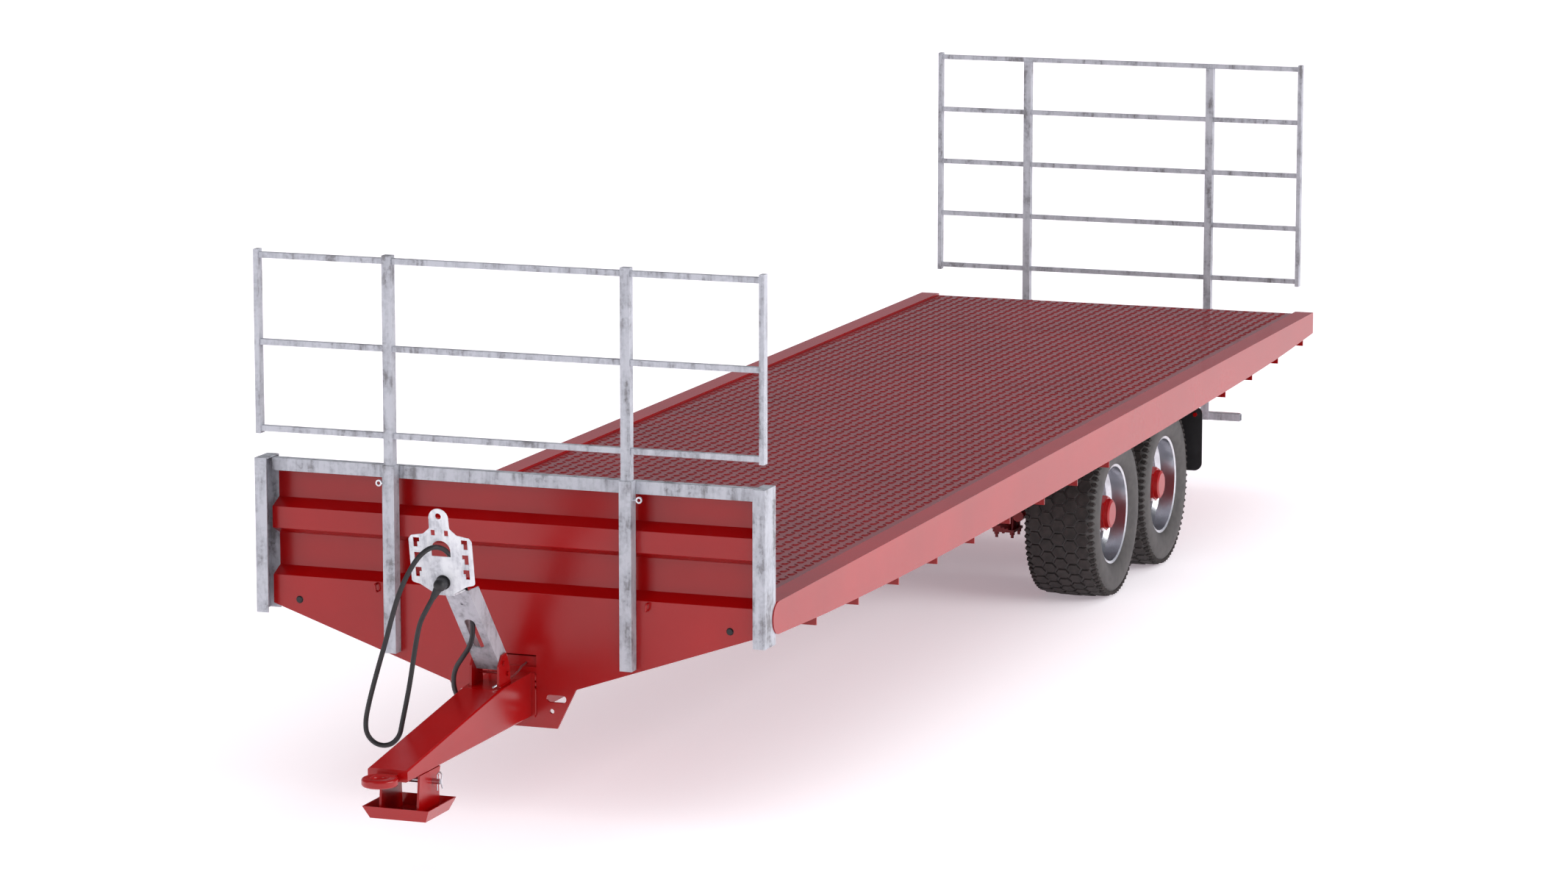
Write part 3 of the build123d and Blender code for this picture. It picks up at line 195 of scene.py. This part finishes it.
def brightMetal(name, light, dark, roughness):
    # rolled or plated metal: clean and bright, with a fine tone change over a few centimetres
    material, tree, shader, place = newFinish(name, {"Metallic": 1.0, "Roughness": roughness})
    tone = addNode(tree, "ShaderNodeTexNoise", {"Scale": 30.0, "Detail": 3.0}, {"Vector": place})
    colour = ramp(tree, tone.outputs["Fac"], [(0.3, dark), (0.7, light)])
    tree.links.new(colour, shader.inputs["Base Color"])
    return material


framePaint = glossPaint("redEnamel", "#950103", "#8a0102", 0.24, 0.0)
deckPaint = glossPaint("redEnamelDeck", "#7c060d", "#70050b", 0.34, 0.4)
zincSteel = galvanised("hotDipZinc", "#b6b8c0", "#a4a6ae", "#77767a", 0.4)
zincPlate = galvanised("freshZincPlate", "#d8dadf", "#c6c8cf", "#a2a4ac", 0.3)
tyreTread = rubber("tyreTreadRubber", "#352f2e", "#252120", 0.8)
tyreWall = rubber("tyreSidewallRubber", "#474443", "#3c3939", 0.6)
moulded = rubber("mouldedBlackRubber", "#1d1c1f", "#141316", 0.5)
wheelSilver = brightMetal("silverWheelPaint", "#d9dadf", "#c3c4ca", 0.24)
platedZinc = brightMetal("brightZincPlating", "#d6d8dc", "#b9bbc0", 0.3)
springPaint = glossPaint("redSpringPaint", "#8a0f17", "#6f0d13", 0.5, 0.1)
lampRed = glossPaint("redLampLens", "#b00d16", "#a00b13", 0.1, 0.8)

nodeFinishes = {
    framePaint: ["main_beams", "cross_members", "side_rail_left", "side_rail_right", "rear_beam",
                 "drawbar_spine", "headboard_sheet", "drawbar_plate", "drawbar", "tow_eye", "skid_tray",
                 "skid_cheeks", "carrier_lugs", "front_axle", "rear_axle", "front_brakes", "rear_brakes",
                 "spring_hangers", "rocker_left", "rocker_right", "hub_front_left", "hub_front_right",
                 "hub_rear_left", "hub_rear_right", "flap_brackets", "rope_hooks"],
    deckPaint: ["deck_sheets"],
    zincSteel: ["headboard_posts", "headboard_rail", "front_rack_sockets", "rear_rack_sockets",
                "front_rack_uprights", "front_rack_frame", "rear_rack_uprights", "rear_rack_frame",
                "light_bar", "carrier_post"],
    zincPlate: ["carrier_plate"],
    moulded: ["cable_plug", "cable_gland", "parking_socket", "drain_plugs", "mudflaps"],
    wheelSilver: ["rim_front_left", "rim_front_right", "rim_rear_left", "rim_rear_right"],
    platedZinc: ["rack_screws", "skid_pin", "suspension_pins"],
    springPaint: ["front_leaf_springs", "rear_leaf_springs", "front_spring_clamps", "rear_spring_clamps"],
    lampRed: ["tail_lamps"],
}
for finish, names in nodeFinishes.items():
    for name in names:
        nodes[name].data.materials.clear()
        nodes[name].data.materials.append(finish)
electricCable.data.materials.append(moulded)
print("finishes given to the frame")


# what repeats is grown by geometry nodes
def newTree(name, sizes):
    tree = bpy.data.node_groups.new(name, "GeometryNodeTree")
    tree.interface.new_socket(name="Geometry", in_out="OUTPUT", socket_type="NodeSocketGeometry")
    for label, kind in sizes.items():
        tree.interface.new_socket(name=label, in_out="INPUT", socket_type=kind)
    return tree, addNode(tree, "NodeGroupInput"), addNode(tree, "NodeGroupOutput")


def figure(tree, operation, first, second=0.0):
    node = addNode(tree, "ShaderNodeMath", operation=operation)
    for slotIndex, value in enumerate((first, second)):
        if isinstance(value, (int, float)):
            node.inputs[slotIndex].default_value = value
        else:
            tree.links.new(value, node.inputs[slotIndex])
    return node.outputs["Value"]


def grow(name, tree, sizes):
    piece = bpy.data.objects.new(name, bpy.data.meshes.new(name))
    bpy.context.scene.collection.objects.link(piece)
    modifier = piece.modifiers.new(name, "NODES")
    modifier.node_group = tree
    for item in tree.interface.items_tree:
        if item.in_out == "INPUT":
            modifier[item.identifier] = sizes[item.name]
    graph = bpy.context.evaluated_depsgraph_get()
    graph.update()
    grown = bpy.data.meshes.new_from_object(piece.evaluated_get(graph), depsgraph=graph)
    piece.modifiers.clear()
    piece.data = grown
    return piece


def treadBlockTree(finish):
    # six-sided blocks in staggered rows around a wheel that turns about Y
    tree, sizes, output = newTree("treadBlocks", {
        "Rows": "NodeSocketInt", "Count": "NodeSocketInt", "Row pitch": "NodeSocketFloat",
        "Radius": "NodeSocketFloat", "Crown drop": "NodeSocketFloat", "Length": "NodeSocketFloat",
        "Width": "NodeSocketFloat", "Height": "NodeSocketFloat", "Taper": "NodeSocketFloat"})
    given = sizes.outputs
    total = figure(tree, "MULTIPLY", given["Rows"], given["Count"])
    index = addNode(tree, "GeometryNodeInputIndex").outputs["Index"]
    row = figure(tree, "FLOOR", figure(tree, "DIVIDE", figure(tree, "ADD", index, 0.5), given["Count"]))
    stagger = figure(tree, "MULTIPLY", figure(tree, "MODULO", row, 2.0), 0.5)
    step = figure(tree, "ADD", figure(tree, "MODULO", index, given["Count"]), stagger)
    angle = figure(tree, "MULTIPLY", figure(tree, "DIVIDE", step, given["Count"]), 2 * math.pi)
    middle = figure(tree, "MULTIPLY", figure(tree, "SUBTRACT", given["Rows"], 1.0), 0.5)
    fromMiddle = figure(tree, "SUBTRACT", row, middle)
    across = figure(tree, "MULTIPLY", fromMiddle, given["Row pitch"])
    outness = figure(tree, "POWER", figure(tree, "ABSOLUTE", figure(tree, "DIVIDE", fromMiddle, middle)), 2.0)
    reach = figure(tree, "SUBTRACT", given["Radius"], figure(tree, "MULTIPLY", outness, given["Crown drop"]))
    place = addNode(tree, "ShaderNodeCombineXYZ", links={
        "X": figure(tree, "MULTIPLY", reach, figure(tree, "COSINE", angle)), "Y": across,
        "Z": figure(tree, "MULTIPLY", reach, figure(tree, "SINE", angle))})
    lean = addNode(tree, "ShaderNodeCombineXYZ", links={"Y": figure(tree, "SUBTRACT", math.pi / 2, angle)})
    points = addNode(tree, "GeometryNodePoints", links={"Count": total, "Position": place.outputs["Vector"]})
    block = addNode(tree, "GeometryNodeMeshCone", {"Vertices": 6, "Radius Bottom": 0.5, "Depth": 1.0},
                    {"Radius Top": given["Taper"]})
    turned = addNode(tree, "GeometryNodeTransform", {"Rotation": (0, 0, math.pi / 2)},
                     {"Geometry": block.outputs["Mesh"]})
    size = addNode(tree, "ShaderNodeCombineXYZ", links={
        "X": given["Length"], "Y": given["Width"], "Z": given["Height"]})
    placed = addNode(tree, "GeometryNodeInstanceOnPoints", links={
        "Points": points.outputs["Points"], "Instance": turned.outputs["Geometry"],
        "Rotation": lean.outputs["Vector"], "Scale": size.outputs["Vector"]})
    real = addNode(tree, "GeometryNodeRealizeInstances", links={"Geometry": placed.outputs["Instances"]})
    painted = addNode(tree, "GeometryNodeSetMaterial", {"Material": finish},
                      {"Geometry": real.outputs["Geometry"]})
    tree.links.new(painted.outputs["Geometry"], output.inputs["Geometry"])
    return tree


def floorBumpTree(finish):
    # raised lozenges on the deck, every second one turned the other way
    tree, sizes, output = newTree("floorBumps", {
        "Length": "NodeSocketFloat", "Width": "NodeSocketFloat", "Pitch X": "NodeSocketFloat",
        "Pitch Y": "NodeSocketFloat", "Bump length": "NodeSocketFloat", "Bump width": "NodeSocketFloat",
        "Bump height": "NodeSocketFloat", "Lean": "NodeSocketFloat"})
    given = sizes.outputs
    columns = figure(tree, "FLOOR", figure(tree, "DIVIDE", given["Length"], given["Pitch X"]))
    lanes = figure(tree, "FLOOR", figure(tree, "DIVIDE", given["Width"], given["Pitch Y"]))
    index = addNode(tree, "GeometryNodeInputIndex").outputs["Index"]
    lane = figure(tree, "FLOOR", figure(tree, "DIVIDE", figure(tree, "ADD", index, 0.5), columns))
    column = figure(tree, "MODULO", index, columns)
    parity = figure(tree, "MODULO", figure(tree, "ADD", lane, column), 2.0)
    place = addNode(tree, "ShaderNodeCombineXYZ", links={
        "X": figure(tree, "MULTIPLY", figure(tree, "ADD", column, 0.5), given["Pitch X"]),
        "Y": figure(tree, "MULTIPLY", figure(tree, "ADD", lane, 0.5), given["Pitch Y"])})
    way = figure(tree, "MULTIPLY", figure(tree, "SUBTRACT", figure(tree, "MULTIPLY", parity, 2.0), 1.0),
                 given["Lean"])
    turn = addNode(tree, "ShaderNodeCombineXYZ", links={"Z": way})
    points = addNode(tree, "GeometryNodePoints", links={
        "Count": figure(tree, "MULTIPLY", columns, lanes), "Position": place.outputs["Vector"]})
    bump = addNode(tree, "GeometryNodeMeshCone", {"Vertices": 6, "Radius Top": 0.26, "Radius Bottom": 0.5,
                                                  "Depth": 1.0})
    size = addNode(tree, "ShaderNodeCombineXYZ", links={
        "X": given["Bump length"], "Y": given["Bump width"], "Z": given["Bump height"]})
    placed = addNode(tree, "GeometryNodeInstanceOnPoints", links={
        "Points": points.outputs["Points"], "Instance": bump.outputs["Mesh"],
        "Rotation": turn.outputs["Vector"], "Scale": size.outputs["Vector"]})
    real = addNode(tree, "GeometryNodeRealizeInstances", links={"Geometry": placed.outputs["Instances"]})
    painted = addNode(tree, "GeometryNodeSetMaterial", {"Material": finish},
                      {"Geometry": real.outputs["Geometry"]})
    tree.links.new(painted.outputs["Geometry"], output.inputs["Geometry"])
    return tree


# tread-plate bumps on the deck
deckBumps = {"rim": 0.012, "edge": 0.006, "pitchX": 0.056, "pitchY": 0.056,
             "length": 0.046, "width": 0.016, "height": 0.0045, "lean": math.radians(45)}
deckLow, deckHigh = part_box("deck_sheets")
bumpField = {
    "Length": deckHigh.x - deckLow.x - 2 * deckBumps["rim"],
    "Width": deckHigh.y - deckLow.y - 2 * deckBumps["edge"],
    "Pitch X": deckBumps["pitchX"], "Pitch Y": deckBumps["pitchY"], "Bump length": deckBumps["length"],
    "Bump width": deckBumps["width"], "Bump height": deckBumps["height"], "Lean": deckBumps["lean"]}
treadPlate = grow("deckTreadBumps", floorBumpTree(deckPaint), bumpField)
treadPlate.data.transform(Matrix.Translation((deckLow.x + deckBumps["rim"],
                                              deckLow.y + deckBumps["edge"], deckHigh.z)))
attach(treadPlate, "chassis")
print("deck bumps", len(treadPlate.data.polygons))

# tyres: a turned carcass with six-sided tread blocks
tyre = {
    "outside": [(0.159, 0.2635), (0.171, 0.266), (0.181, 0.279), (0.190, 0.300), (0.196, 0.325),
                (0.199, 0.352), (0.1985, 0.378), (0.193, 0.402), (0.183, 0.418), (0.168, 0.428),
                (0.140, 0.4335), (0.090, 0.4365), (0.045, 0.438), (0.0, 0.4385)],
    "inside": [(0.0, 0.422), (0.100, 0.420), (0.155, 0.410), (0.178, 0.385), (0.182, 0.350),
               (0.172, 0.305), (0.150, 0.275), (0.143, 0.2635)],
    "segments": 96,
}
treadRows = {"Rows": 5, "Count": 38, "Row pitch": 0.0655, "Radius": 0.4276, "Crown drop": 0.006,
             "Length": 0.0800, "Width": 0.0805, "Height": 0.0213, "Taper": 0.44}
shoulderRows = {"Rows": 2, "Count": 76, "Row pitch": 0.352, "Radius": 0.4150, "Crown drop": 0.0,
                "Length": 0.026, "Width": 0.038, "Height": 0.020, "Taper": 0.40}


def turnedRing(profile, segments):
    # closed profile of (along the axle, radius) turned about Y
    ring = bmesh.new()
    loops = []
    for k in range(segments):
        angle = 2 * math.pi * k / segments
        loops.append([ring.verts.new((r * math.cos(angle), a, r * math.sin(angle))) for a, r in profile])
    for k in range(segments):
        here, there = loops[k], loops[(k + 1) % segments]
        for i in range(len(profile)):
            j = (i + 1) % len(profile)
            face = ring.faces.new((here[i], here[j], there[j], there[i]))
            face.smooth = True
    bmesh.ops.recalc_face_normals(ring, faces=ring.faces)
    return ring


def tyreMesh(blocks, lugs):
    half = tyre["outside"]
    outside = half + [(-a, r) for a, r in reversed(half[:-1])]
    inside = [(-a, r) for a, r in reversed(tyre["inside"][1:])] + tyre["inside"]
    whole = turnedRing(outside + inside, tyre["segments"])
    for extra in (blocks, lugs):
        before = len(whole.faces)
        whole.from_mesh(extra)
        whole.faces.ensure_lookup_table()
        for face in whole.faces[before:]:
            face.material_index = 1
    mesh = bpy.data.meshes.new("tyre")
    whole.to_mesh(mesh)
    whole.free()
    mesh.materials.append(tyreWall)
    mesh.materials.append(tyreTread)
    return mesh


blockTree = treadBlockTree(tyreTread)
blockPiece = grow("treadBlocks", blockTree, treadRows)
lugPiece = grow("shoulderLugs", blockTree, shoulderRows)
patternTyre = tyreMesh(blockPiece.data, lugPiece.data)
for helper in (blockPiece, lugPiece):
    bpy.data.objects.remove(helper)
for axle in ("front", "rear"):
    for side in ("left", "right"):
        low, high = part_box(f"tyre_{axle}_{side}")
        mesh = patternTyre.copy()
        mesh.transform(Matrix.Translation((low + high) / 2))
        piece = bpy.data.objects.new(f"{axle}{side.capitalize()}Tyre", mesh)
        bpy.context.scene.collection.objects.link(piece)
        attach(piece, f"wheel_{axle}_{side}")
        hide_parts(f"tyre_{axle}_{side}")
print("tyres", len(patternTyre.polygons), "faces each")


# small round parts, each a closed solid in the mesh of one piece
def newPiece(name, solid, finish, body):
    bmesh.ops.recalc_face_normals(solid, faces=solid.faces)
    mesh = bpy.data.meshes.new(name)
    solid.to_mesh(mesh)
    solid.free()
    mesh.materials.append(finish)
    piece = bpy.data.objects.new(name, mesh)
    bpy.context.scene.collection.objects.link(piece)
    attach(piece, body)


def addRod(solid, points, radius, sides):
    # round rod through the points, with its rings square to the way on
    rings = []
    for k, point in enumerate(points):
        before = points[max(k - 1, 0)]
        after = points[min(k + 1, len(points) - 1)]
        turn = (after - before).normalized().to_track_quat("Z", "Y")
        rings.append([solid.verts.new(point + turn @ Vector((radius * math.cos(a), radius * math.sin(a), 0)))
                      for a in (2 * math.pi * j / sides for j in range(sides))])
    for low, high in zip(rings, rings[1:]):
        for j in range(sides):
            face = solid.faces.new((low[j], low[(j + 1) % sides], high[(j + 1) % sides], high[j]))
            face.smooth = True
    solid.faces.new(rings[0])
    solid.faces.new(rings[-1])


# weld beads where the main pieces of the chassis join
welds = {
    "radius": 0.0045, "step": 0.012, "ripple": 0.0009, "sides": 6,
    "proud": 0.001,                      # the bead's middle line stands this far off the steel
    "barEnds": 0.010,                    # the drawbar's beads stop short of its top and bottom
    "lugLine": [(266, -373), (390, -378)], "lugInset": 0.009,
    "cheekProud": 0.002, "cheekHeight": 0.009, "cheekRear": 0.015, "cheekFront": 0.005,
}


def weldBead(solid, start, end):
    count = max(3, int((end - start).length / welds["step"]))
    points = [start.lerp(end, k / count) for k in range(count + 1)]
    sag = [Vector((0, 0, welds["ripple"] * (k % 2))) for k in range(count + 1)]
    addRod(solid, [p + s for p, s in zip(points, sag)], welds["radius"], welds["sides"])


barLow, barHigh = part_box("drawbar")
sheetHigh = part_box("headboard_sheet")[1]
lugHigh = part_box("carrier_lugs")[1]
cheekLow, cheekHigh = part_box("skid_cheeks")
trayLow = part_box("skid_tray")[0]
weldSolid = bmesh.new()
for side in (1, -1):
    barSide = side * (barHigh.y + welds["proud"])
    barEnd = sheetHigh.x + welds["proud"]
    weldBead(weldSolid, Vector((barEnd, barSide, barLow.z + welds["barEnds"])),
             Vector((barEnd, barSide, barHigh.z - welds["barEnds"])))
    lugSide = side * (lugHigh.y - welds["lugInset"])
    weldBead(weldSolid, *[fromHead(x, 1000 * lugSide, z) for x, z in welds["lugLine"]])
    cheekSide = side * (cheekHigh.y + welds["cheekProud"])
    cheekFoot = trayLow.z + welds["cheekHeight"]
    weldBead(weldSolid, Vector((cheekLow.x + welds["cheekRear"], cheekSide, cheekFoot)),
             Vector((cheekHigh.x - welds["cheekFront"], cheekSide, cheekFoot)))
newPiece("drawbarWelds", weldSolid, framePaint, "chassis")

# thin hydraulic pipe from the headboard's notch onto the drawbar
pipe = {"radius": 0.0045, "sides": 12,
        "route": [(60, 62, -330), (110, 62, -336), (150, 60, -352), (190, 58, -362), (300, 57, -366),
                  (425, 56, -370)]}
pipeSolid = bmesh.new()
addRod(pipeSolid, [fromHead(*place) for place in pipe["route"]], pipe["radius"], pipe["sides"])
newPiece("brakePipe", pipeSolid, platedZinc, "chassis")

# tyre valves on the rims
valve = {"radius": 0.0055, "sides": 12, "length": 0.042, "collar": 0.7,      # collar: share of the length
         "aside": 0.214, "inset": 0.070}
for axle in ("front", "rear"):
    for side, sign in (("left", 1), ("right", -1)):
        low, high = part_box(f"rim_{axle}_{side}")
        middle = (low + high) / 2
        outer = high.y if sign > 0 else low.y
        foot = Vector((middle.x + valve["aside"], outer - sign * valve["inset"], middle.z))
        valveSolid = bmesh.new()
        stem = Vector((0, sign * valve["length"], 0))
        addRod(valveSolid, [foot, foot + valve["collar"] * stem, foot + stem], valve["radius"],
               valve["sides"])
        newPiece(f"{axle}{side.capitalize()}Valve", valveSolid, platedZinc, f"wheel_{axle}_{side}")

# raised ribs on the tail lamps' lenses
lensRibs = {"count": 22, "radius": 0.0016, "sides": 6, "depth": 0.0008, "endGap": 0.004}
lampLow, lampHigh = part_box("tail_lamps")
lampInner = min(v.co.y for v in nodes["tail_lamps"].data.vertices if v.co.y > 0)
ribSolid = bmesh.new()
for side in (1, -1):
    for k in range(lensRibs["count"]):
        y = side * (lampInner + (lampHigh.y - lampInner) * (k + 0.5) / lensRibs["count"])
        x = lampLow.x + lensRibs["depth"]
        ribFoot = Vector((x, y, lampLow.z + lensRibs["endGap"]))
        ribTop = Vector((x, y, lampHigh.z - lensRibs["endGap"]))
        addRod(ribSolid, [ribFoot, ribTop], lensRibs["radius"], lensRibs["sides"])
newPiece("lampLensRibs", ribSolid, lampRed, "chassis")
print("welds, pipe, valves and lamp ribs added")

# floor, world and lights
studio = {"floor": 400.0, "floorColour": "#f6f5f8", "floorRoughness": 0.7,
          "softLight": "#ffffff", "softStrength": 1.0,
          "floorGlow": "#fff0fa", "glowStrength": 0.3,
          "mirrored": [(0.0, "#b8bac2"), (0.3, "#7d7f86"), (0.8, "#54565c")]}
floorMesh = bpy.data.meshes.new("studioFloor")
floorHalf = studio["floor"] / 2
corners = [(floorHalf * x, floorHalf * y, 0) for x, y in ((-1, -1), (1, -1), (1, 1), (-1, 1))]
floorMesh.from_pydata(corners, [], [(0, 1, 2, 3)])
floor = bpy.data.objects.new("studioFloor", floorMesh)
bpy.context.scene.collection.objects.link(floor)
floorFinish = bpy.data.materials.new("paleFloor")     # matt painted studio floor
floorFinish.use_nodes = True
floorShader = floorFinish.node_tree.nodes["Principled BSDF"]
floorShader.inputs["Base Color"].default_value = linear(studio["floorColour"])
floorShader.inputs["Roughness"].default_value = studio["floorRoughness"]
floorShader.inputs["Emission Color"].default_value = linear(studio["floorGlow"])
floorShader.inputs["Emission Strength"].default_value = studio["glowStrength"]
floorMesh.materials.append(floorFinish)

# even white light from all round; what glossy paint mirrors of the room is grey and darker overhead
world = bpy.data.worlds.new("studio")
bpy.context.scene.world = world
world.use_nodes = True
room = world.node_tree
room.nodes.clear()
direction = addNode(room, "ShaderNodeTexCoord").outputs["Generated"]
height = addNode(room, "ShaderNodeSeparateXYZ", links={"Vector": direction}).outputs["Z"]
shade = ramp(room, height, studio["mirrored"])
mirrored = addNode(room, "ShaderNodeBackground", links={"Color": shade})
softLight = addNode(room, "ShaderNodeBackground", {"Color": linear(studio["softLight"]),
                                                   "Strength": studio["softStrength"]})
glossy = addNode(room, "ShaderNodeLightPath").outputs["Is Glossy Ray"]
chosen = addNode(room, "ShaderNodeMixShader", links={"Fac": glossy, 1: softLight.outputs["Background"],
                                                     2: mirrored.outputs["Background"]})
addNode(room, "ShaderNodeOutputWorld", links={"Surface": chosen.outputs["Shader"]})

softLights = {
    "sideLight": {"place": (2.0, 22.0, 10.0), "aim": (-1.0, 0, 1.0), "size": (18, 10), "power": 3200},
    "frontLight": {"place": (20.0, -10.0, 8.0), "aim": (0, 0, 1.0), "size": (10, 7), "power": 500},
}
for name, light in softLights.items():
    lamp = bpy.data.lights.new(name, "AREA")
    lamp.shape = "RECTANGLE"
    lamp.size, lamp.size_y = light["size"]
    lamp.energy = light["power"]
    lampObject = bpy.data.objects.new(name, lamp)
    lampObject.location = light["place"]
    aim = Vector(light["aim"]) - Vector(light["place"])
    lampObject.rotation_euler = aim.to_track_quat("-Z", "Y").to_euler()
    bpy.context.scene.collection.objects.link(lampObject)
bpy.context.scene.view_settings.view_transform = "Standard"
print("studio lit")
